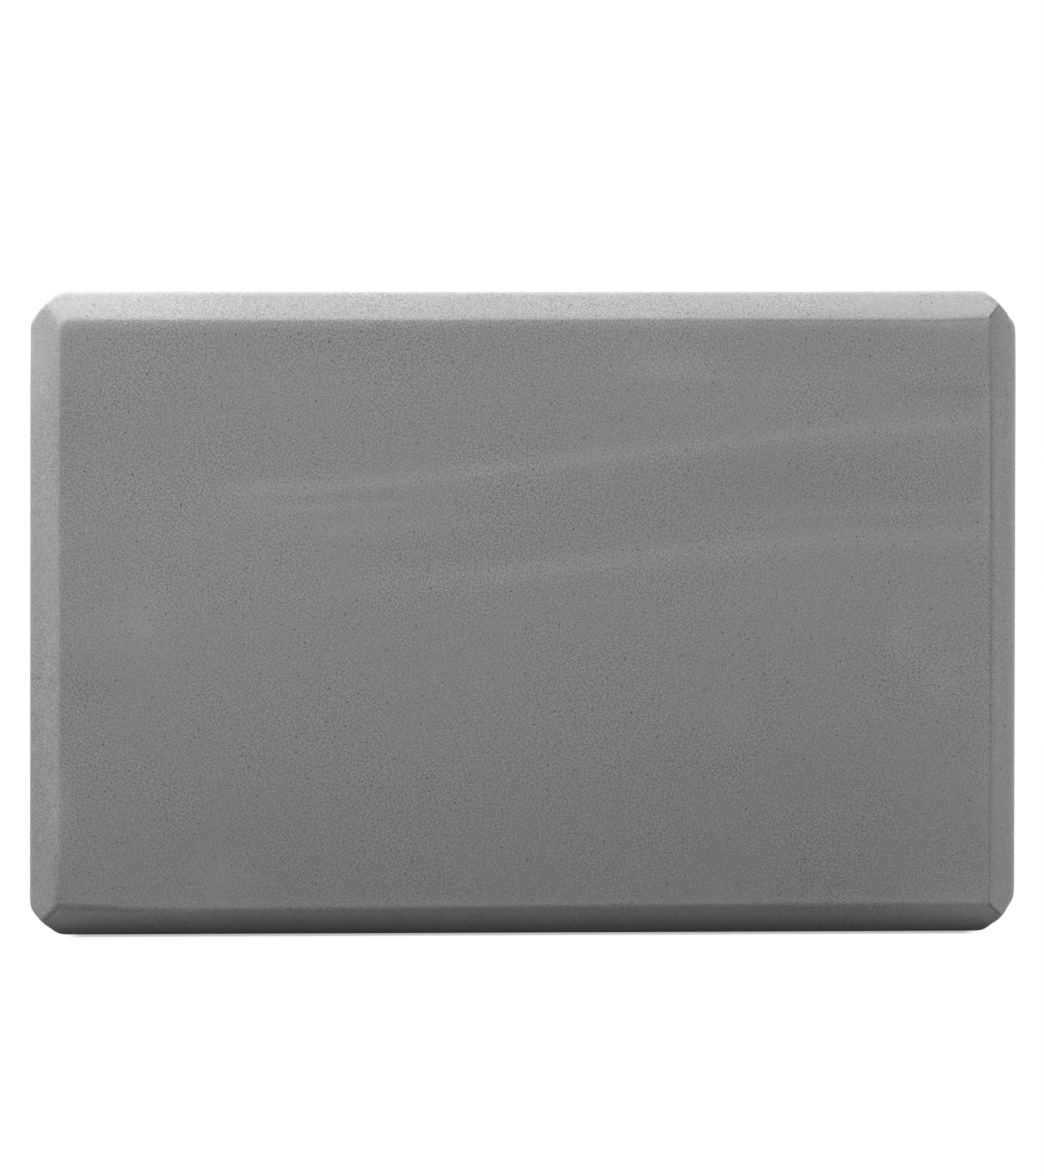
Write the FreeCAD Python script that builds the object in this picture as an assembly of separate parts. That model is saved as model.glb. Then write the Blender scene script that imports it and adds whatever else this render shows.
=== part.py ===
import FreeCAD, Part
import math
import os

# Foam yoga block: two closed-cell foam slabs, bonded face to face and bevelled on every outer edge.
# Millimetres. The block stands on a long narrow side: X runs along its length, Y through its thickness
# and Z up. The origin is the middle of the side that it stands on.

# Driving dimensions of the block
BLOCK_LENGTH = 230.0
BLOCK_HEIGHT = 150.0
SLAB_THICKNESS = 38.0

# Bevels round both large faces, and the cut at the four corners of the outline
FACE_BEVEL = 7.0
CORNER_CUT = 6.5

# Radii that sanding leaves along the arrises of the bevels and of the corner cuts
BEVEL_SOFTENING = 1.5
CORNER_SOFTENING = 6.0

# Adhesive between the slabs, which stops a little short of the foam's edge
FILM_THICKNESS = 0.2
FILM_INSET = 0.3

Vector = FreeCAD.Vector


def cut_rectangle(low, high, cuts, softening):
    """Corners (u, v, radius) of a rectangle, going round from low, each cut off by its own leg.

    A cut corner gives the two softened ends of its cut, and a corner with no cut stays square.
    """
    square = [(low[0], low[1]), (high[0], low[1]), (high[0], high[1]), (low[0], high[1])]
    corners = []
    for index, (u, v) in enumerate(square):
        leg = cuts[index]
        if not leg:
            corners.append((u, v, 0))
            continue
        for neighbour in (square[index - 1], square[(index + 1) % len(square)]):
            side = (neighbour[0] - u, neighbour[1] - v)
            leg_share = leg / math.hypot(*side)
            corners.append((u + side[0] * leg_share, v + side[1] * leg_share, softening))
    return corners


def tangent_arc(corner, before, after, radius):
    """Start, middle and end of the arc that softens a corner between two straight sides."""
    back = (before - corner).normalize()
    ahead = (after - corner).normalize()
    half_angle = back.getAngle(ahead) / 2
    reach = radius / math.tan(half_angle)
    depth = radius / math.sin(half_angle) - radius
    middle = corner + (back + ahead).normalize() * depth
    return corner + back * reach, middle, corner + ahead * reach


def softened_face(corners):
    """Face inside a closed outline of (point, radius) corners, with an arc at each corner that has a radius."""
    arcs = []
    for index, (corner, radius) in enumerate(corners):
        before = corners[index - 1][0]
        after = corners[(index + 1) % len(corners)][0]
        arcs.append(tangent_arc(corner, before, after, radius))
    edges = []
    for index, (start, middle, end) in enumerate(arcs):
        last_end = arcs[index - 1][2]
        edges.append(Part.LineSegment(last_end, start).toShape())
        if corners[index][1]:
            edges.append(Part.Arc(start, middle, end).toShape())
    return Part.Face(Part.Wire(edges))


def front_outline():
    """The block as seen from the front, in the plane Y = 0, with its four corners cut."""
    low = (-BLOCK_LENGTH / 2, 0)
    high = (BLOCK_LENGTH / 2, BLOCK_HEIGHT)
    corners = cut_rectangle(low, high, [CORNER_CUT] * 4, CORNER_SOFTENING)
    return softened_face([(Vector(x, 0, z), radius) for x, z, radius in corners])


def make_front_slab():
    """The foam in front of the adhesive: its front, end and plan outlines, each drawn out and intersected."""
    inner_y = -FILM_THICKNESS / 2
    outer_y = inner_y - SLAB_THICKNESS
    half_length = BLOCK_LENGTH / 2
    cuts = [FACE_BEVEL, 0, 0, FACE_BEVEL]

    end_corners = cut_rectangle((outer_y, 0), (inner_y, BLOCK_HEIGHT), cuts, BEVEL_SOFTENING)
    end_face = softened_face([(Vector(-half_length, y, z), radius) for y, z, radius in end_corners])
    long_bevels = end_face.extrude(Vector(BLOCK_LENGTH, 0, 0))

    plan_corners = cut_rectangle((outer_y, -half_length), (inner_y, half_length), cuts, BEVEL_SOFTENING)
    plan_face = softened_face([(Vector(x, y, 0), radius) for y, x, radius in plan_corners])
    end_bevels = plan_face.extrude(Vector(0, 0, BLOCK_HEIGHT))

    cut_corners = front_outline().extrude(Vector(0, outer_y, 0))
    return cut_corners.common(long_bevels).common(end_bevels).Solids[0]


def make_rear_slab(front_slab):
    """The same slab behind the adhesive, turned over so that its bevels face the rear."""
    return front_slab.mirror(Vector(0, 0, 0), Vector(0, 1, 0))


def make_bond_film():
    """The cured adhesive between the slabs, in the block's own outline less the inset."""
    film_face = front_outline().makeOffset2D(-FILM_INSET)
    film_face.translate(Vector(0, -FILM_THICKNESS / 2, 0))
    return film_face.extrude(Vector(0, FILM_THICKNESS, 0)).Solids[0]


def main():
    front_slab = make_front_slab()
    nodes = {
        "front_slab": front_slab,
        "rear_slab": make_rear_slab(front_slab),
        "bond_film": make_bond_film(),
    }
    os.makedirs("parts", exist_ok=True)
    for name, solid in nodes.items():
        solid.exportStep(os.path.join("parts", name + ".step"))
        print(name, "valid" if solid.isValid() else "not valid", round(solid.Volume), "mm3")


main()
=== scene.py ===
import math

import bpy
import numpy as np
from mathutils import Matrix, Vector


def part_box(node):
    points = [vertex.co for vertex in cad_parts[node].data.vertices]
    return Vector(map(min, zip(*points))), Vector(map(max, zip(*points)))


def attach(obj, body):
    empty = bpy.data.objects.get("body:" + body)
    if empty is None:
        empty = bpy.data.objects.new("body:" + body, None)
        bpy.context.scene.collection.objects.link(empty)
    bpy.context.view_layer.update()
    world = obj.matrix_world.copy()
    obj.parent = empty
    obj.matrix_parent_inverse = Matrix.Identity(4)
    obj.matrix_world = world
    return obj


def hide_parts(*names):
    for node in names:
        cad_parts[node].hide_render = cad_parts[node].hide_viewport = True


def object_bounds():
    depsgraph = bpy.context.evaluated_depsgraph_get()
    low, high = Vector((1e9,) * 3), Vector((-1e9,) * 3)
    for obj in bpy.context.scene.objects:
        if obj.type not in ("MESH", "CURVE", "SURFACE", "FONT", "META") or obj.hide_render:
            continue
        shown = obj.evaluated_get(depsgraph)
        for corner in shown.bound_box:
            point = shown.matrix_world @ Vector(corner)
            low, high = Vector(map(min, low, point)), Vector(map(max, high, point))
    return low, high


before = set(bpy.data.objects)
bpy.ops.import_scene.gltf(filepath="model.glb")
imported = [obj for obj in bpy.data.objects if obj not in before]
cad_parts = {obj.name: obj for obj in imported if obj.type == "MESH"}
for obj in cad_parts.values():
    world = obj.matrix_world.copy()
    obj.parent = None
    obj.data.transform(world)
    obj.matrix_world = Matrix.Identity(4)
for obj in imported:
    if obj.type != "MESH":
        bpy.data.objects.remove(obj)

cadBox = [list(corner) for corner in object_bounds()]
mm = 0.001
tiny = 1e-6
weldDigits = 6                      # mesh points that agree to so many decimals of a millimetre are one
noiseMiddle = 0.5                   # a noise node runs from 0 to 1
print("frame loaded, box of the solids:", cadBox)


# a shader socket: sums on it add Math nodes, and node() adds any other node
class Wire:
    def __init__(self, tree, socket=None):
        self.tree = tree
        self.socket = socket

    def node(self, kind, settings=None, sockets=None, out=0):
        made = self.tree.nodes.new(kind)
        for name, value in (settings or {}).items():
            setattr(made, name, value)
        for name, value in (sockets or {}).items():
            if isinstance(value, Wire):
                self.tree.links.new(value.socket, made.inputs[name])
            else:
                made.inputs[name].default_value = value
        return Wire(self.tree, made.outputs[out])

    def maths(self, operation, *values):
        return self.node("ShaderNodeMath", {"operation": operation}, dict(enumerate(values)))

    def __add__(self, other):
        return self.maths("ADD", self, other)

    def __sub__(self, other):
        return self.maths("SUBTRACT", self, other)

    def __mul__(self, other):
        return self.maths("MULTIPLY", self, other)

    def __radd__(self, other):
        return self.maths("ADD", other, self)

    def __rsub__(self, other):
        return self.maths("SUBTRACT", other, self)

    def __rmul__(self, other):
        return self.maths("MULTIPLY", other, self)

    # 0 below low, 1 above high, eased in between
    def step(self, low, high):
        settings = {"interpolation_type": "SMOOTHSTEP"}
        return self.node("ShaderNodeMapRange", settings, {"Value": self, "From Min": low, "From Max": high})

    # the first colour where this is 0, the second where it is 1
    def mix(self, first, second):
        settings = {"data_type": "RGBA"}
        return self.node("ShaderNodeMix", settings, {0: self, 6: first, 7: second}, out=2)

    def into(self, shader, name):
        self.tree.links.new(self.socket, shader.inputs[name])


def grey(level):
    return (level, level, level, 1)


def newMaterial(name):
    material = bpy.data.materials.new(name)
    material.use_nodes = True
    tree = material.node_tree
    return material, Wire(tree), tree.nodes["Principled BSDF"]


# closed-cell foam, skived and sanded: fine grain in patches, scattered pores, and arrises painted paler,
# partly as rubbed wear and partly as a painted highlight
# sizes are in mm, and tones are shares of the foam's own tone
foam = {
    "tone": 0.235,
    "turn": (0.6, 0.4, 0.7),        # the grain's own axes lie askew, so that it shows no rows
    "flatRange": (0.85, 0.95),      # how squarely a bevel, and a flat side, faces one of the block's axes
    "detail": 1, "broadDetail": 2,  # of the noises for grain and mottle, and for patches and blotches
    "grainSize": 0.44, "grainTone": 1.09,               # on the flat sides
    "bevelGrainSize": 0.33, "bevelGrainTone": 1.46,
    "fineSize": 0.25, "fineTone": 0.1,
    "mottleSize": 2, "mottleTone": 0.15,
    "patchSize": 22, "patchSteps": (0.3, 0.7), "patchRange": (0.72, 1.28),      # weaker and stronger grain
    "blotchSize": 70, "blotchTone": 0.10,
    "poreSpacing": 2.6, "poreReach": (0.07, 0.12), "poreTone": 0.42,
    # the pale arris tone is partly wear and partly a painted highlight, the spot tone carries painted light
    # and shade, and the crease tone is painted shade
    "arrisWearAndHighlightTone": 0.08, "scuffAndLightTone": 0.09, "creaseShadeTone": 0.55,
    "roughness": 0.86, "roughnessRange": 0.12,
    "gloss": 0.25,
    "relief": 0.6, "reliefDepth": 0.07, "grainRelief": 0.7, "fineRelief": 0.4,
}


# places on the flat sides, laid out in two dimensions, and how flat the surface is: 0 on the bevels
def flatCoordinates(wire):
    place = wire.node("ShaderNodeTexCoord", out="Object")
    facing = wire.node("ShaderNodeTexCoord", out="Normal")
    facing = wire.node("ShaderNodeVectorMath", {"operation": "ABSOLUTE"}, {0: facing})
    parts = [wire.node("ShaderNodeSeparateXYZ", sockets={0: facing}, out=axis) for axis in "XYZ"]
    onEnd, onFace, onSide = [part.step(*foam["flatRange"]) for part in parts]
    turn = foam["turn"][2]
    quarter = math.pi / 2

    def seen(rotation):
        return wire.node("ShaderNodeMapping", sockets={"Vector": place, "Rotation": rotation})

    flat = seen((quarter, 0, turn))
    for share, rotation in ((onEnd, (0, quarter, turn)), (onSide, (0, 0, turn))):
        sockets = {0: share, 4: flat, 5: seen(rotation)}
        flat = wire.node("ShaderNodeMix", {"data_type": "VECTOR"}, sockets, out=1)
    return flat, onEnd + onFace + onSide


def foamMaterial():
    material, wire, shader = newMaterial("skivedFoam")
    flatPlace, flatness = flatCoordinates(wire)
    place = wire.node("ShaderNodeTexCoord", out="Object")
    place = wire.node("ShaderNodeMapping", sockets={"Vector": place, "Rotation": foam["turn"]})

    def noise(size, detail=foam["detail"]):
        sockets = {"Vector": place, "Scale": 1 / (size * mm), "Detail": detail}
        return wire.node("ShaderNodeTexNoise", sockets=sockets)

    def flatNoise(size):
        sockets = {"Vector": flatPlace, "Scale": 1 / (size * mm), "Detail": foam["detail"]}
        return wire.node("ShaderNodeTexNoise", {"noise_dimensions": "2D"}, sockets)

    def painted(name):
        return wire.node("ShaderNodeAttribute", {"attribute_name": name}, out="Fac")

    flatGrain = (flatNoise(foam["grainSize"]) - noiseMiddle) * foam["grainTone"]
    bevelGrain = (noise(foam["bevelGrainSize"]) - noiseMiddle) * foam["bevelGrainTone"]
    grain = flatGrain * flatness + bevelGrain * (1 - flatness)
    fine = noise(foam["fineSize"]) - noiseMiddle
    mottle = noise(foam["mottleSize"]) - noiseMiddle
    blotch = noise(foam["blotchSize"], foam["broadDetail"]) - noiseMiddle
    low, high = foam["patchRange"]
    patch = noise(foam["patchSize"], foam["broadDetail"]).step(*foam["patchSteps"]) * (high - low) + low
    cells = {"Vector": place, "Scale": 1 / (foam["poreSpacing"] * mm)}
    pore = 1 - wire.node("ShaderNodeTexVoronoi", sockets=cells).step(*foam["poreReach"])

    speckle = grain * patch + fine * foam["fineTone"]
    speckle = speckle + mottle * foam["mottleTone"] + blotch * foam["blotchTone"]
    # the arrises are made paler, partly as rubbed wear and partly as a painted highlight; the spots are
    # partly rubbed marks and partly painted light and shade
    pale = painted("arrisWearAndHighlight") * foam["arrisWearAndHighlightTone"] + painted("scuffAndPaintedLight") * foam["scuffAndLightTone"]
    # the pores are the foam's own dark; the other term is painted shade in the saw creases
    dark = pore * foam["poreTone"] + painted("creaseShade") * foam["creaseShadeTone"]
    level = (1 + speckle + pale - dark) * foam["tone"]
    wire.node("ShaderNodeCombineColor", sockets={0: level, 1: level, 2: level}).into(shader, "Base Color")

    (grain * foam["roughnessRange"] + foam["roughness"]).into(shader, "Roughness")
    shader.inputs["Specular IOR Level"].default_value = foam["gloss"]
    height = grain * patch * foam["grainRelief"] + fine * foam["fineRelief"] - pore
    relief = {"Height": height, "Strength": foam["relief"], "Distance": foam["reliefDepth"] * mm}
    wire.node("ShaderNodeBump", sockets=relief).into(shader, "Normal")
    return material


# the block as it was sawn, in mm: the legs of its four corner cuts, along and up, and how rounded they are
block = {
    "corners": {
        ("left", "top"): (7.0, 7.0), ("right", "top"): (7.4, 7.5),
        ("right", "bottom"): (6.9, 7.9), ("left", "bottom"): (6.25, 6.3),
    },
    "cornerSoftness": 0.5,
    "softReach": 6,                 # how far from a ridge its own softness holds
    "outerRange": (0.5, 4),         # depths over which it gives way to the softness of the outer arrises
    # how far the sides stand outside their straight line: (place along it, shift)
    "lean": {
        "left": [(0, 0.31), (128, -0.32), (139, -0.47), (146, -0.3)],
        "right": [(0, 0.35), (130, 0.19), (146, 0.08)],
        "top": [(-107, -0.16), (-92, -0.02), (-50, -0.1), (10, -0.1), (60, 0), (98, 0.2), (108, 0.25)],
    },
    "leanMargin": 0.5,              # the lean is whole this near to the rim, and nil this near to the ridge
    "wanderReach": 3,               # how far from a ridge its wander is felt
    "endFade": (-2, 2),             # where a lip or a swell sets in, inside the ridges at its two ends
    "swellFade": (3, 6),            # where a swell dies out, outside its ridge
    "skiveEdge": 2.5,               # how far inside the ridges the skiving steps are whole
    "rippleBend": 1.2, "rippleFade": 14,        # how sharp a skiving step is, and how far up it is felt
    "creaseStart": (-1.5, 1.5),     # where a mitre's crease sets in, from its outer end inwards
    "creaseShadeStart": (-1, -0.2),       # and the painted shade in it
    "scuffAndLightDepth": (8.5, 20),        # over which the scuffs and their painted light and shade fade, from the face back
    "seamRound": 0.35,              # rounding where the two slabs meet
}

# how the foam is meshed, in mm and in counts of steps
meshing = {
    "edgeZone": 12,                 # band along the face's edges with a close mesh
    "coreDepth": 20,                # how far the slab's core lies behind its face
    "bevelSteps": 20,
    "easeSteps": 9, "easeBend": 1.6,            # from a bevel to the end of the band, ever wider
    "faceStep": (1.8, 0.8),         # on the face, along the length and up the height
    "closeDepth": 10, "closeSteps": 30,         # down the sides, close behind the face
    "depthStep": 2.2,               # and farther back
    "seamSteps": (3, 1.5, 1, 0.7, 0.4, 0.15, 0),        # lines at the seam, as shares of its rounding
    "searchReach": 1.05, "searchSteps": 36,     # share of the way out to the box, and halvings
    "mapMargin": 0.005,             # bare border of the unfolded map
    "gluedScale": 0.14, "gluedDrop": 0.8,       # the glued side on the map: size and place
}

# bevels as (leg along the face, leg into the depth), in mm
frontSlab = {
    "node": "front_slab",
    "bevels": {"left": (7.1, 7.0), "right": (6.86, 7.6), "top": (6.5, 5.6), "bottom": (7.3, 7.9)},
    # how rounded the face's arrises are, as (place, softness), then the mitres and the outer arrises
    "softness": {
        "left": [(6, 0.3), (14, 0.25), (24, 0.45), (36, 0.4), (50, 0.14), (144, 0.12)],
        "right": [(75, 0.13)],
        "top": [(-108, 0.2), (-95, 0.1)],
        "bottom": [(-108, 0.2), (-95, 0.15)],
    },
    "mitreSoftness": {
        ("left", "top"): 0.5, ("right", "top"): 0.12, ("right", "bottom"): 0.12, ("left", "bottom"): 0.5,
    },
    "outerSoftness": 0.4,
    "bulge": 0.12,                  # how far the middle of a bevel stands proud
    # how far a bevel's inner edge runs outside its straight line: (place along it, shift)
    "wander": {
        "bottom": [
            (-106, -0.3), (-98, -0.1), (-91, 0.35), (-80, 0.65), (-55, 0.55),
            (-30, 0.45), (10, 0.2), (60, 0), (108, 0),
        ],
        "top": [(-108, -0.2), (-64, -0.25), (-20, -0.2), (20, -0.05), (46, -0.15), (96, -0.2), (107, 0.2)],
        "left": [(6, 0.1), (14, 0.4), (22, 0.6), (34, 0.3), (60, 0), (100, -0.05), (140, -0.4)],
        "right": [(6, 0.2), (40, 0.4), (90, 0.4), (120, 0.3), (144, -0.2)],
    },
    # lips along the face's edges, as height, rolled off where it is below 0, and reach
    "lips": {"top": (-0.22, 2.8), "bottom": (0.11, 2.2), "right": (0.2, 2.2)},
    "swells": {"bottom": (0.3, 1.5)},           # the same of a bevel, just outside its inner edge
    # lines that the saw left along the ridges and where two bevels meet, with a width to each side; each is
    # a shallow crease with painted shade in it
    # a ridge's line sets in between the two places along it that "from" gives
    "ridgeLines": {
        "right": {"depth": 0.03, "creaseShade": 0.18, "width": (0.5, 2.4), "inside": 0, "from": (-10, 70)},
        "left": {"depth": 0.04, "creaseShade": 0.42, "width": (0.9, 1.1), "inside": 0, "from": (24, 10)},
        "top": {"depth": 0.06, "creaseShade": 0.4, "width": (0.3, 0.25), "inside": 0.3, "from": (-20, 90)},
        "bottom": {"depth": 0.03, "creaseShade": 0.32, "width": (0.5, 1.2), "inside": 0, "from": (-84, -102)},
    },
    "mitreLines": {
        ("right", "top"): {"depth": 0.3, "creaseShade": 1, "width": (0.2, 0.2)},
        ("right", "bottom"): {"depth": 0.3, "creaseShade": 0.85, "width": (0.22, 0.22)},
        ("left", "bottom"): {"depth": 0.14, "creaseShade": 0.5, "width": (0.6, 0.5)},
    },
    # shallow steps that the skiving blade left: the lower side stands proud, or the upper one below 0
    # the span says where along the face a step starts, is whole, ebbs and ends
    "ripples": [
        {"path": [(-69, 103.8), (-50, 105), (-13, 108.1), (17, 111.3),
                  (51, 115.7), (77, 117.9), (99, 119.2)],
         "span": (-76, -64, 130, 140), "step": 0.3, "width": 2.2},
        {"path": [(-50, 81.5), (-10, 84), (11, 86.8), (33, 88.9),
                  (51, 91.2), (77, 92.6), (99, 93.1)],
         "span": (-75, 8, 130, 140), "step": 0.32, "width": 2.6},
        {"path": [(41, 97.7), (70, 98.8), (101, 99.6)],
         "span": (25, 60, 130, 140), "step": 0.12, "width": 1.2},
        {"path": [(-62, 101.6), (-40, 102.4), (-22, 103.4)],
         "span": (-66, -55, -35, -18), "step": -0.06, "width": 0.8},
        {"path": [(-66, 99.4), (-45, 100.2), (-20, 101)],
         "span": (-70, -60, -40, -15), "step": 0.11, "width": 1},
        {"path": [(-50, 95), (-20, 96), (10, 98.5)],
         "span": (-55, -35, -20, 10), "step": 0.11, "width": 1},
        {"path": [(20, 127.6), (36, 128), (54, 127.4)],
         "span": (18, 26, 46, 56), "step": -0.12, "width": 1},
        {"path": [(86, 127.5), (97, 127), (108, 126.5)],
         "span": (84, 90, 130, 140), "step": -0.14, "width": 1},
    ],
    # soft spots, paler or, below 0, darker, as (x, z), half sizes and strength; some are rubbed marks,
    # others painted light and shade
    "scuffsAndPaintedLight": [
        # on the face
        ((-88, 74), (6, 8), 1), ((-78.5, 93), (1.3, 4), 0.7), ((-70, 14.5), (8, 6), 1.1),
        ((-45, 98), (22, 5), 0.3), ((58, 124), (30, 6), 0.4), ((88, 71), (3.5, 7), 1),
        ((97, 59), (3.5, 6), 0.8), ((48, 52), (4, 5), 0.5), ((45, 12), (5, 4), 0.5),
        ((34, 131.5), (12, 4), 1.2), ((62, 130), (24, 3), 0.5), ((-100, 72), (8, 5), 0.6),
        ((-4, 72), (0.8, 5), 0.5),
        # towards the edges and the corners, mostly painted highlights and light that reaches round under the
        # ends
        ((101, 60), (13, 75), 0.6), ((104, 7), (14, 9), 1.2), ((106, 148), (22, 5), 0.8),
        ((-92, 149), (20, 5), 1.1), ((-115, 136), (7, 13), 1.8), ((-107.5, 142.5), (2, 2), 1.2),
        ((74, 150), (30, 4), 0.9), ((115, 45), (3.2, 60), 0.9), ((114, 22), (3, 14), 0.7),
        ((108, 45), (4, 20), 0.8), ((115.5, 149), (2.5, 3.5), 2), ((104, 141), (10, 4), 0.7),
        ((-85, 145), (25, 3), 0.9), ((-106.5, 31), (3, 8), 0.9),
        # darker ones, partly painted shade on the rims and corners
        ((-94, 121), (25, 17), -0.9), ((-45, 138), (70, 6), -0.5), ((-102, 59), (9, 5), -0.6),
        ((-106, 122), (4, 14), -0.7), ((-115.5, 66), (2, 40), -0.8), ((106, 143.8), (4, 1.6), -1.2),
        ((100, 48), (8, 8), -0.4), ((60, 107), (34, 6), -0.4), ((112, 150.5), (3, 1.5), -1.2),
        ((-114, 1.5), (3, 3), -1.4),
    ],
}

# the slab at the rear is less worn, and its saw left no lines, so it has no creases and no painted shade in
# them
rearSlab = {
    "node": "rear_slab",
    "bevels": {"left": (6.9, 7.0), "right": (7.0, 6.8), "top": (6.8, 6.7), "bottom": (7.0, 6.9)},
    "softness": {
        "left": [(6, 0.2), (60, 0.3), (144, 0.2)],
        "right": [(6, 0.4), (40, 0.2)],
        "top": [(-108, 0.4), (-60, 0.25), (108, 0.2)],
        "bottom": [(20, 0.18), (108, 0.4)],
    },
    "mitreSoftness": {
        ("left", "top"): 0.4, ("right", "top"): 0.2, ("right", "bottom"): 0.5, ("left", "bottom"): 0.2,
    },
    "outerSoftness": 0.4,
    "bulge": 0.12,
    "wander": {
        "bottom": [(-108, 0.2), (-40, -0.3), (30, 0.3), (108, 0)],
        "top": [(-108, 0), (-30, 0.3), (50, -0.2), (108, 0.2)],
        "left": [(6, 0), (70, 0.3), (144, -0.1)],
        "right": [(6, 0.2), (60, -0.2), (144, 0.2)],
    },
    "lips": {"bottom": (0.06, 3.5), "left": (0.06, 3.5), "top": (-0.12, 3)},
    "swells": {"bottom": (0.1, 1.5)},
    "ridgeLines": {}, "mitreLines": {},
    "ripples": [
        {"path": [(-108, 52), (-40, 56), (10, 55), (60, 61)],
         "span": (-140, -130, 20, 60), "step": 0.12, "width": 1.8},
        {"path": [(-20, 98), (40, 101), (108, 106)],
         "span": (-25, 20, 130, 140), "step": 0.12, "width": 1.8},
    ],
    "scuffsAndPaintedLight": [((70, 40), (8, 6), 0.8), ((-85, 110), (5, 7), 0.8)],
}

# the slabs' own sizes come from the solids
lowCorner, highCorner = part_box("front_slab")
halfLength = (highCorner[0] - lowCorner[0]) / 2 / mm
blockHeight = (highCorner[2] - lowCorner[2]) / mm
slabDepth = (highCorner[1] - lowCorner[1]) / mm

# each side's axis, and which way along it is out
sideAxis = {"left": (0, -1), "right": (0, 1), "bottom": (2, -1), "top": (2, 1)}


def eased(value, low, high):
    t = np.clip((value - low) / (high - low), 0, 1)
    return t * t * (3 - 2 * t)


# how far a point is outside the plane that cuts an edge off, from how far it is outside the two faces
def cutPlane(first, second, legs, bulge=0):
    across = first / legs[0] - second / legs[1]                 # -1 and 1 at the two arrises of the cut
    plane = (first / legs[0] + second / legs[1] + 1) / math.hypot(1 / legs[0], 1 / legs[1])
    return plane - bulge * np.clip(1 - across ** 2, 0, 1)


# the largest of several distances, rounded over where two of them are close; also how close they are
def softMax(distances, softness):
    stack = np.stack(distances)
    largest = stack.max(axis=0)
    share = np.exp((stack - largest) / softness)
    total = share.sum(axis=0)
    return largest + softness * np.log(total), 2 * (1 - 1 / total)


# how far a point is outside the bevelled form, and how near to an arris
def outsideSlab(slab, softness, mitreSoftness, x, depth, z):
    side = {"left": -halfLength - x, "right": x - halfLength, "bottom": -z, "top": z - blockHeight}
    corners = [cutPlane(side[a], side[b], legs) for (a, b), legs in block["corners"].items()]
    outline, _ = softMax(list(side.values()) + corners, block["cornerSoftness"])
    bevels = [cutPlane(side[name], -depth, legs, slab["bulge"]) for name, legs in slab["bevels"].items()]
    bevelled, _ = softMax(bevels, mitreSoftness)
    return softMax([outline, -depth, bevelled], softness)


# where the right bevel's mitre with another runs out at the corner cut, as mesh distances from both edges
def mitreEnd(slab, name):
    zone, coreDepth = meshing["edgeZone"], meshing["coreDepth"]
    rightLegs, legs = slab["bevels"]["right"], slab["bevels"][name]
    along, up = block["corners"][("right", name)]
    across, rise = rightLegs[0] / along, legs[0] / up
    depth = (across + rise - 1) / (across / rightLegs[1] + rise / legs[1])
    ends = []
    for faceLeg, depthLeg in (rightLegs, legs):
        inward = zone - faceLeg * (1 - depth / depthLeg)
        ends.append(zone - inward * coreDepth / (coreDepth - depth))
    return ends


# distances of the mesh lines from each edge: the lines meet on the ridges and along the right-hand mitres
def edgeLines(slab):
    zone = meshing["edgeZone"]
    ridge = {name: legs[0] for name, legs in slab["bevels"].items()}
    onBevel = np.linspace(0, ridge["right"], meshing["bevelSteps"] + 1)
    ease = np.linspace(0, 1, meshing["easeSteps"] + 1)[1:] ** meshing["easeBend"]
    right = np.concatenate([onBevel, ridge["right"] + (zone - ridge["right"]) * ease])
    lines = {"right": right, "left": np.interp(right, [0, ridge["right"], zone], [0, ridge["left"], zone])}
    for name in ("top", "bottom"):
        endRight, endHere = mitreEnd(slab, name)
        stops = [0, endRight, ridge["right"], zone], [0, endHere, ridge[name], zone]
        lines[name] = np.interp(right, *stops)
    return lines


def between(low, high, step):
    count = max(round((high - low) / step), 1)
    return np.linspace(low, high, count + 1)[1:-1]


def gridLines(slab):
    edge = edgeLines(slab)
    xStep, zStep = meshing["faceStep"]
    acrossLow, acrossHigh = -halfLength + edge["left"], halfLength - edge["right"][::-1]
    upLow, upHigh = edge["bottom"], blockHeight - edge["top"][::-1]
    x = np.concatenate([acrossLow, between(acrossLow[-1], acrossHigh[0], xStep), acrossHigh])
    z = np.concatenate([upLow, between(upLow[-1], upHigh[0], zStep), upHigh])
    closeDepth = meshing["closeDepth"]
    close = np.linspace(0, closeDepth, meshing["closeSteps"] + 1)
    seam = slabDepth - block["seamRound"] * np.array(meshing["seamSteps"])
    depth = np.concatenate([close, between(closeDepth, seam[0], meshing["depthStep"]), seam])
    return x, depth, z


# the five outer sides of a slab as one welded grid on its bounding box, with an unfolded map
def wrappedGrid(slab):
    x, depth, z = gridLines(slab)
    ends = {"left": -halfLength, "right": halfLength, "bottom": 0, "top": blockHeight}
    sides = {
        "front": (x, z), "top": (x, depth), "bottom": (x, depth), "left": (depth, z), "right": (depth, z),
    }
    points, quads, maps = [], [], []
    start = 0
    for name, (first, second) in sides.items():
        a, b = (lines.ravel() for lines in np.meshgrid(first, second, indexing="ij"))
        if name == "front":
            sheet, net = (a, 0 * a, b), (a, b)
        elif name in ("top", "bottom"):
            sheet = (a, b, 0 * a + ends[name])
            net = (a, b + blockHeight if name == "top" else -b)
        else:
            sheet = (0 * a + ends[name], a, b)
            net = (ends[name] + (a if name == "right" else -a), b)
        index = start + np.arange(len(a)).reshape(len(first), len(second))
        around = index[:-1, :-1], index[1:, :-1], index[1:, 1:], index[:-1, 1:]
        quad = np.stack(around, axis=-1).reshape(-1, 4)
        quads.append(quad[:, ::-1] if name in ("bottom", "left") else quad)
        points.append(np.stack(sheet, axis=-1))
        maps.append(np.stack(net, axis=-1))
        start += len(a)
    points, maps, quads = np.concatenate(points), np.concatenate(maps), np.concatenate(quads)
    rounded = np.round(points, weldDigits)
    _, keep, weld = np.unique(rounded, axis=0, return_index=True, return_inverse=True)
    return points[keep], weld.ravel()[quads], maps[quads]


# a value that changes along a side, given as (place, value), at every mesh point
def alongSide(name, stops, box):
    axis, _ = sideAxis[name]
    at, value = np.array(stops).T
    return np.interp(box[:, 2 - axis], at, value)


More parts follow.
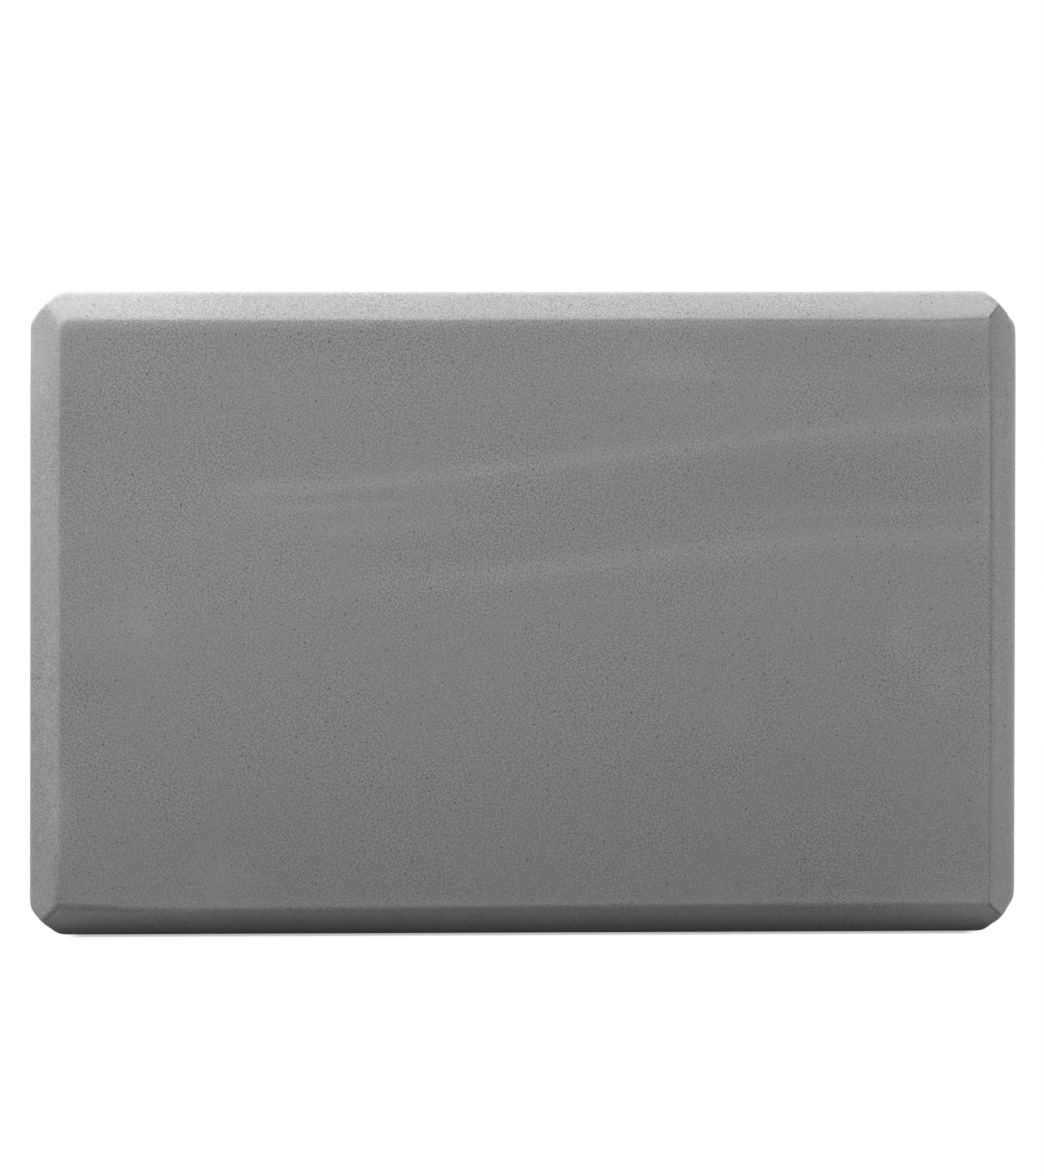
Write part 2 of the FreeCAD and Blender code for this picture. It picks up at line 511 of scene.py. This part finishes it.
# how far a point lies inside the two bevels at the ends of a side
def betweenEnds(name, past):
    first, second = ("bottom", "top") if name in ("left", "right") else ("left", "right")
    return np.minimum(past[first], past[second])


# how rounded the arrises and the mitres are near every mesh point
def softnessNear(slab, box, past):
    share = {name: np.exp(-(past[name] / block["softReach"]) ** 2) + tiny for name in past}
    soft = {name: alongSide(name, slab["softness"][name], box) for name in past}
    softness = sum(soft[name] * share[name] for name in past) / sum(share.values())
    softness = softness + (slab["outerSoftness"] - softness) * eased(box[:, 1], *block["outerRange"])
    mitreShare = {(side, end): share[side] * share[end] for side, end in slab["mitreSoftness"]}
    mitreSoftness = sum(value * mitreShare[pair] for pair, value in slab["mitreSoftness"].items())
    return softness, mitreSoftness / sum(mitreShare.values())


# each box point slides towards the slab's core until it lies on the bevelled form
# also the way back out, and how near to an arris the point is
def slideOntoForm(slab, box, softness, mitreSoftness):
    zone = meshing["edgeZone"]
    x, depth, z = box.T
    core = np.stack([
        np.clip(x, zone - halfLength, halfLength - zone),
        np.maximum(depth, meshing["coreDepth"]),
        np.clip(z, zone, blockHeight - zone),
    ], axis=-1)
    ray = box - core
    inner, outer = np.zeros(len(box)), np.full(len(box), meshing["searchReach"])
    for _ in range(meshing["searchSteps"]):
        middle = (inner + outer) / 2
        gap, arrisWearAndHighlight = outsideSlab(slab, softness, mitreSoftness, *(core + ray * middle[:, None]).T)
        inner = np.where(gap < 0, middle, inner)
        outer = np.where(gap < 0, outer, middle)
    away = ray / np.maximum(np.linalg.norm(ray, axis=1), tiny)[:, None]
    return core + ray * inner[:, None], away, arrisWearAndHighlight


# creases that the saw left and the painted shade in them, and which points lie on a line between two bevels
def sawLines(slab, x, z, fromEdge, past, onFront):
    crease, creaseShade, mitre = np.zeros(len(x)), np.zeros(len(x)), np.zeros(len(x), bool)

    def draw(line, away, fade, dip=1):
        near = fade * np.exp(-(away / np.where(away > 0, *line["width"])) ** 2)
        np.maximum(crease, line["depth"] * near * dip, out=crease)
        np.maximum(creaseShade, line["creaseShade"] * near, out=creaseShade)

    for name, line in slab["ridgeLines"].items():
        fade = eased(z if name in ("left", "right") else x, *line["from"])
        onRidge = onFront & (betweenEnds(name, past) > -tiny)
        draw(line, past[name] - line["inside"], np.where(onRidge, fade, 0))

    edge = edgeLines(slab)
    for (side, end), line in slab["mitreLines"].items():
        away = (fromEdge[end] - np.interp(fromEdge[side], edge[side], edge[end])) / math.sqrt(2)
        here = onFront & (past[side] < tiny) & (past[end] < tiny)
        along = fromEdge[side] - mitreEnd(slab, end)[0]                 # from the mitre's outer end
        fade = np.where(here, eased(along, *block["creaseShadeStart"]), 0)
        draw(line, away, fade, eased(along, *block["creaseStart"]))
        mitre |= here & (np.abs(away) < tiny)
    return crease, creaseShade, mitre


# how far the face lies back above each of the skiving blade's steps
def rippleDepth(slab, x, z):
    depth = np.zeros_like(x)
    for ripple in slab["ripples"]:
        along, up = np.array(ripple["path"]).T
        degree = 3 if len(along) > 4 else 2                             # a long step bends both ways
        curve = np.polynomial.Polynomial.fit(along, up, degree)
        above = z - curve(np.clip(x, along[0], along[-1]))
        start, full, ebb, end = ripple["span"]
        reach = eased(x, start, full) * (1 - eased(x, ebb, end))
        fade = np.exp(-(np.maximum(above, 0) / block["rippleFade"]) ** 2)
        rise = (1 + np.tanh(block["rippleBend"] * above / ripple["width"])) / 2
        depth += ripple["step"] * reach * fade * rise
    return depth


# skiving steps on the face, and what the bevelling saw raised: lips on its edges and swells outside them
def addSawMarks(slab, place, away, past, onFront, x, z):
    inside = np.minimum.reduce(list(past.values()))
    flat = np.where(onFront, eased(inside, 0, block["skiveEdge"]), 0)
    place[:, 1] += flat * rippleDepth(slab, x, z)

    for name, (height, reach) in slab["lips"].items():
        axis, outward = sideAxis[name]
        faceLeg, depthLeg = slab["bevels"][name]
        onFace = np.clip(1 - past[name] / reach, 0, 1) ** 2
        onBevel = 1 - eased(-past[name], 0, reach)
        rise = height * np.minimum(onFace, onBevel) * eased(betweenEnds(name, past), *block["endFade"])
        rise = np.where(onFront, rise, 0)
        place[:, 1] -= rise
        place[:, axis] -= rise * outward * faceLeg / depthLeg           # along the bevel

    for name, (height, reach) in slab["swells"].items():
        out = np.maximum(-past[name], 0) / reach
        rise = height * out * np.exp(1 - out) * (1 - eased(-past[name], *block["swellFade"]))
        rise = np.where(onFront, rise * eased(betweenEnds(name, past), *block["endFade"]), 0)
        place += away * rise[:, None]


# the bevels' inner edges wander a little off straight, and the sides of the block lean a little
def addWander(slab, place, box, past, onFront):
    for name, stops in slab["wander"].items():
        axis, outward = sideAxis[name]
        near = np.where(onFront, np.exp(-(past[name] / block["wanderReach"]) ** 2), 0)
        place[:, axis] += near * outward * alongSide(name, stops, box)

    margin = block["leanMargin"]
    for name, stops in block["lean"].items():
        axis, outward = sideAxis[name]
        end = blockHeight if name == "top" else halfLength
        bevelWidth = slab["bevels"][name][0]
        rim = 1 - eased(end - outward * place[:, axis], margin, bevelWidth - margin)
        place[:, axis] += outward * rim * alongSide(name, stops, box)


# the outer edge of the glued side is rounded over, so that the seam shows as a fine line
def roundSeam(place, away, depth):
    radius = block["seamRound"]
    short = np.clip(radius - (slabDepth - depth), 0, radius)
    inset = radius - np.sqrt(radius ** 2 - short ** 2)
    sideways = away * [1, 0, 1]
    sideways /= np.maximum(np.linalg.norm(sideways, axis=1), tiny)[:, None]
    place -= sideways * inset[:, None]


# spots painted paler and darker: rubbed marks, and painted light and shade towards the edges and corners
def scuffedAndLit(slab, x, z):
    pale = np.zeros_like(x)
    for (midX, midZ), (wide, high), strength in slab["scuffsAndPaintedLight"]:
        pale += strength * np.exp(-((x - midX) / wide) ** 2 - ((z - midZ) / high) ** 2)
    return pale


# in mm, with x along the block, depth back from the slab's face, and z up
def slabMesh(slab):
    box, quads, netMap = wrappedGrid(slab)
    x, depth, z = box.T
    onFront = depth < tiny
    fromEdge = {"left": x + halfLength, "right": halfLength - x, "bottom": z, "top": blockHeight - z}
    past = {name: fromEdge[name] - legs[0] for name, legs in slab["bevels"].items()}    # inside each ridge
    place, away, arrisWearAndHighlight = slideOntoForm(slab, box, *softnessNear(slab, box, past))
    crease, creaseShade, mitre = sawLines(slab, x, z, fromEdge, past, onFront)
    place -= away * crease[:, None]
    addSawMarks(slab, place, away, past, onFront, x, z)
    addWander(slab, place, box, past, onFront)
    roundSeam(place, away, depth)
    skin = 1 - eased(depth, *block["scuffAndLightDepth"])
    # painted on the points: paler arrises, partly wear and partly a painted highlight; painted shade in the
    # creases; spots that are partly rubbed marks and partly painted light and shade
    paint = {"arrisWearAndHighlight": arrisWearAndHighlight * skin, "creaseShade": creaseShade, "scuffAndPaintedLight": scuffedAndLit(slab, x, z) * skin}
    return place, quads, netMap, mitre, paint, box


# faces and their corners on the map: a square that a mitre's crease crosses is split along the crease
def splitFaces(quads, netMap, mitre):
    faces, corners = [], []
    for quad, net in zip(quads.tolist(), netMap.tolist()):
        if mitre[quad[0]] and mitre[quad[2]]:
            parts = ((0, 1, 2), (0, 2, 3))
        elif mitre[quad[1]] and mitre[quad[3]]:
            parts = ((1, 2, 3), (1, 3, 0))
        else:
            parts = ((0, 1, 2, 3),)
        for part in parts:
            faces.append([quad[i] for i in part])
            corners.extend(net[i] for i in part)
    return faces, corners


# the glued side closes the slab, and takes a small place in a corner of the map
def gluedFace(box):
    rim = np.flatnonzero(box[:, 1] > slabDepth - tiny)
    turn = np.arctan2(box[rim, 2] - blockHeight / 2, box[rim, 0])
    rim = rim[np.argsort(-turn)]
    across = box[rim, 0] * meshing["gluedScale"] - halfLength - slabDepth / 2
    up = box[rim, 2] * meshing["gluedScale"] - meshing["gluedDrop"] * slabDepth
    return rim.tolist(), np.stack([across, up], axis=-1).tolist()


# a slab that is turned over has its faces wound the other way round
def turnOver(faces, corners):
    turned, at = [], 0
    for face in faces:
        turned.extend(reversed(corners[at:at + len(face)]))
        at += len(face)
    return [face[::-1] for face in faces], turned


def makeSlab(slab, material):
    place, quads, netMap, mitre, paint, box = slabMesh(slab)
    faces, corners = splitFaces(quads, netMap, mitre)
    rim, rimCorners = gluedFace(box)
    faces.append(rim)
    corners.extend(rimCorners)
    low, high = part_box(slab["node"])
    facing = -1 if slab is frontSlab else 1                     # the way its large face looks along Y
    if facing > 0:
        faces, corners = turnOver(faces, corners)
    outerY = low[1] if facing < 0 else high[1]
    points = place * mm * [1, -facing, 1] + [(low[0] + high[0]) / 2, outerY, low[2]]

    mesh = bpy.data.meshes.new(slab["node"] + "Foam")
    mesh.from_pydata(points.tolist(), [], faces)
    mesh.polygons.foreach_set("use_smooth", np.ones(len(faces), bool))
    netSize = np.array([2 * (halfLength + slabDepth), blockHeight + 2 * slabDepth])
    margin = meshing["mapMargin"]
    spread = (np.array(corners) + [halfLength + slabDepth, slabDepth]) / netSize
    spread = margin + (1 - 2 * margin) * spread
    mesh.uv_layers.new(name="OFBake").data.foreach_set("uv", spread.ravel())
    for name, values in paint.items():
        mesh.attributes.new(name, "FLOAT", "POINT").data.foreach_set("value", values.astype(np.float32))
    mesh.materials.append(material)
    mesh.update()

    piece = bpy.data.objects.new(slab["node"] + "_foam", mesh)
    bpy.context.collection.objects.link(piece)
    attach(piece, "root")
    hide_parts(slab["node"])
    print(piece.name, len(mesh.vertices), "points,", len(mesh.loop_triangles), "triangles")


# cured contact adhesive, amber grey, seen only as the line between the slabs; sizes in mm
glue = {
    "tone": (0.16, 0.15, 0.13, 1), "thin": (0.23, 0.22, 0.20, 1),
    "smearSize": 6, "smearSteps": (0.35, 0.65), "beadSize": 0.6,
    "roughness": 0.45, "roughnessRange": 0.3,
    "relief": 0.4, "reliefDepth": 0.05,
}


def glueMaterial():
    material, wire, shader = newMaterial("contactAdhesive")
    place = wire.node("ShaderNodeTexCoord", out="Object")

    def noise(size):
        return wire.node("ShaderNodeTexNoise", sockets={"Vector": place, "Scale": 1 / (size * mm)})

    smear = noise(glue["smearSize"])
    bead = noise(glue["beadSize"])
    smear.step(*glue["smearSteps"]).mix(glue["tone"], glue["thin"]).into(shader, "Base Color")
    (bead * glue["roughnessRange"] + glue["roughness"]).into(shader, "Roughness")
    relief = {"Height": bead + smear, "Strength": glue["relief"], "Distance": glue["reliefDepth"] * mm}
    wire.node("ShaderNodeBump", sockets=relief).into(shader, "Normal")
    return material


def dressFilm(material):
    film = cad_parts["bond_film"]
    for slot in film.material_slots:
        slot.material = material
    if not film.material_slots:
        film.data.materials.append(material)
    print("film dressed")


# lamps as (degrees round from the front, degrees up, metres away, size, level)
# a lamp at level 1 shows a colour that faces it about as it is written; all lengths are in metres
studio = {
    "lamps": {
        "keyLeft": (-75, 50, 0.6, (0.4, 0.4), 1.28),
        "overhead": (-20, 80, 0.8, (0.8, 0.6), 1.3),
        "rimRight": (119, 20, 0.8, (0.4, 0.7), 1.1),
        "front": (0, 8, 1.5, (0.8, 0.5), 0.13),
        "fillBehind": (170, 30, 1.2, (0.8, 0.8), 0.6),
    },
    "sky": 0.3,
    "floorSize": 6, "floorDrop": 0.0002, "floorTone": 0.9,
    # the shadow that shows: round a foot drawn in by the inset, and paled
    "shadowInset": (0.012, 0.008), "shadowReach": 0.004, "shadowPale": 0.5,
    # what the floor gives back, painted into its colour as light and shade: a lit strip along the block's
    # foot, painted shade beside it, more light farther out
    "footPaintedLight": 0.62, "footEdge": 0.0004, "footReach": (0.0035, 0.0045),
    "farPaintedLight": 0.56, "farReach": 0.5, "farBend": 0.7, "shadeInset": 0.05,
}


# the way to something so many degrees round from the front, to the right, and so many up
def direction(turn, lift):
    turn, lift = math.radians(turn), math.radians(lift)
    return Vector((math.sin(turn) * math.cos(lift), -math.cos(turn) * math.cos(lift), math.sin(lift)))


def addLamps():
    middle = (Vector(cadBox[0]) + Vector(cadBox[1])) / 2
    for name, (turn, lift, away, size, level) in studio["lamps"].items():
        lamp = bpy.data.lights.new(name, "AREA")
        lamp.shape = "RECTANGLE"
        lamp.size, lamp.size_y = size
        lamp.energy = level * (math.pi * away) ** 2
        towards = direction(turn, lift)
        holder = bpy.data.objects.new(name, lamp)
        holder.location = middle + towards * away
        holder.rotation_euler = towards.to_track_quat("Z", "Y").to_euler()
        bpy.context.collection.objects.link(holder)


# 1 where the camera, or a mirror or glass, looks; 0 for the light that bounces about
def seenDirectly(wire):
    kinds = ("Camera", "Glossy", "Transmission")
    camera, glossy, through = [wire.node("ShaderNodeLightPath", out="Is " + kind + " Ray") for kind in kinds]
    return wire.maths("MAXIMUM", camera, wire.maths("MAXIMUM", glossy, through))


def addSky():
    world = bpy.data.worlds.new("studioWhite")
    world.use_nodes = True
    tree = world.node_tree
    wire = Wire(tree)
    light = wire.node("ShaderNodeBackground", sockets={"Color": grey(1), "Strength": studio["sky"]})
    shown = wire.node("ShaderNodeBackground", sockets={"Color": grey(1), "Strength": 1})
    sky = wire.node("ShaderNodeMixShader", sockets={0: seenDirectly(wire), 1: light, 2: shown})
    sky.into(tree.nodes["World Output"], "Surface")
    bpy.context.scene.world = world


def floorMaterial():
    material, wire, _ = newMaterial("paleFloor")
    place = wire.node("ShaderNodeNewGeometry", out="Position")

    # distance from the block's foot, or from a smaller one inside it
    def reachFrom(insetX, insetY):
        foot = Vector(cadBox[1]) - Vector((insetX, insetY, 0))
        past = wire.node("ShaderNodeVectorMath", {"operation": "ABSOLUTE"}, {0: place})
        past = wire.node("ShaderNodeVectorMath", {"operation": "SUBTRACT"}, {0: past, 1: foot})
        past = wire.node("ShaderNodeVectorMath", {"operation": "MAXIMUM"}, {0: past, 1: (0, 0, 0)})
        return wire.node("ShaderNodeVectorMath", {"operation": "LENGTH"}, {0: past}, out="Value")

    # what is seen: white, with the floor's own shadow close to the block
    pale = studio["shadowPale"]
    contact = reachFrom(*studio["shadowInset"]).step(0, studio["shadowReach"]) * (1 - pale) + pale
    nearby = wire.node("ShaderNodeBsdfDiffuse", sockets={"Color": grey(studio["floorTone"])})
    distant = wire.node("ShaderNodeEmission", sockets={"Color": grey(1), "Strength": 1})
    shown = wire.node("ShaderNodeMixShader", sockets={0: contact, 1: nearby, 2: distant})

    # and what it gives back to the block, with light and shade painted into its colour
    reach = reachFrom(0, 0)
    foot = reach.step(0, studio["footEdge"]) * (1 - reach.step(*studio["footReach"])) * studio["footPaintedLight"]
    shade = reachFrom(studio["shadeInset"], 0) * (1 / studio["farReach"])
    far = wire.maths("POWER", wire.maths("MINIMUM", shade, 1), studio["farBend"]) * studio["farPaintedLight"]
    tone = (foot + far).mix(grey(0), grey(1))
    bounce = wire.node("ShaderNodeBsdfDiffuse", sockets={"Color": tone})
    both = wire.node("ShaderNodeMixShader", sockets={0: seenDirectly(wire), 1: bounce, 2: shown})
    both.into(material.node_tree.nodes["Material Output"], "Surface")
    return material


def addFloor():
    half = studio["floorSize"] / 2
    corners = [(-half, -half, 0), (half, -half, 0), (half, half, 0), (-half, half, 0)]
    mesh = bpy.data.meshes.new("floor")
    mesh.from_pydata(corners, [], [(0, 1, 2, 3)])
    mesh.materials.append(floorMaterial())
    floor = bpy.data.objects.new("floor", mesh)
    floor.location.z = cadBox[0][2] - studio["floorDrop"]
    bpy.context.collection.objects.link(floor)


# the photograph's view: a long lens, some degrees to the left of the face's middle and above it
# in metres away, and aimed off the middle by mm along and up
view = {"away": 1.2, "left": 2.21, "up": 2.85, "aimOff": (-0.75, 6.27), "lens": 158.44}


def addCamera():
    face = Vector((0, cadBox[0][1], (cadBox[0][2] + cadBox[1][2]) / 2))
    along, up = view["aimOff"]
    aim = face + Vector((along, 0, up)) * mm
    camera = bpy.data.objects.new("camera", bpy.data.cameras.new("camera"))
    camera.data.lens = view["lens"]
    camera.location = face + direction(-view["left"], view["up"]) * view["away"]
    camera.rotation_euler = (camera.location - aim).to_track_quat("Z", "Y").to_euler()
    bpy.context.collection.objects.link(camera)
    bpy.context.scene.camera = camera


foamSkin = foamMaterial()
makeSlab(frontSlab, foamSkin)
makeSlab(rearSlab, foamSkin)
dressFilm(glueMaterial())
addLamps()
addSky()
addFloor()
addCamera()
bpy.context.scene.view_settings.view_transform = "Standard"
print("lamps, sky, floor and camera placed")
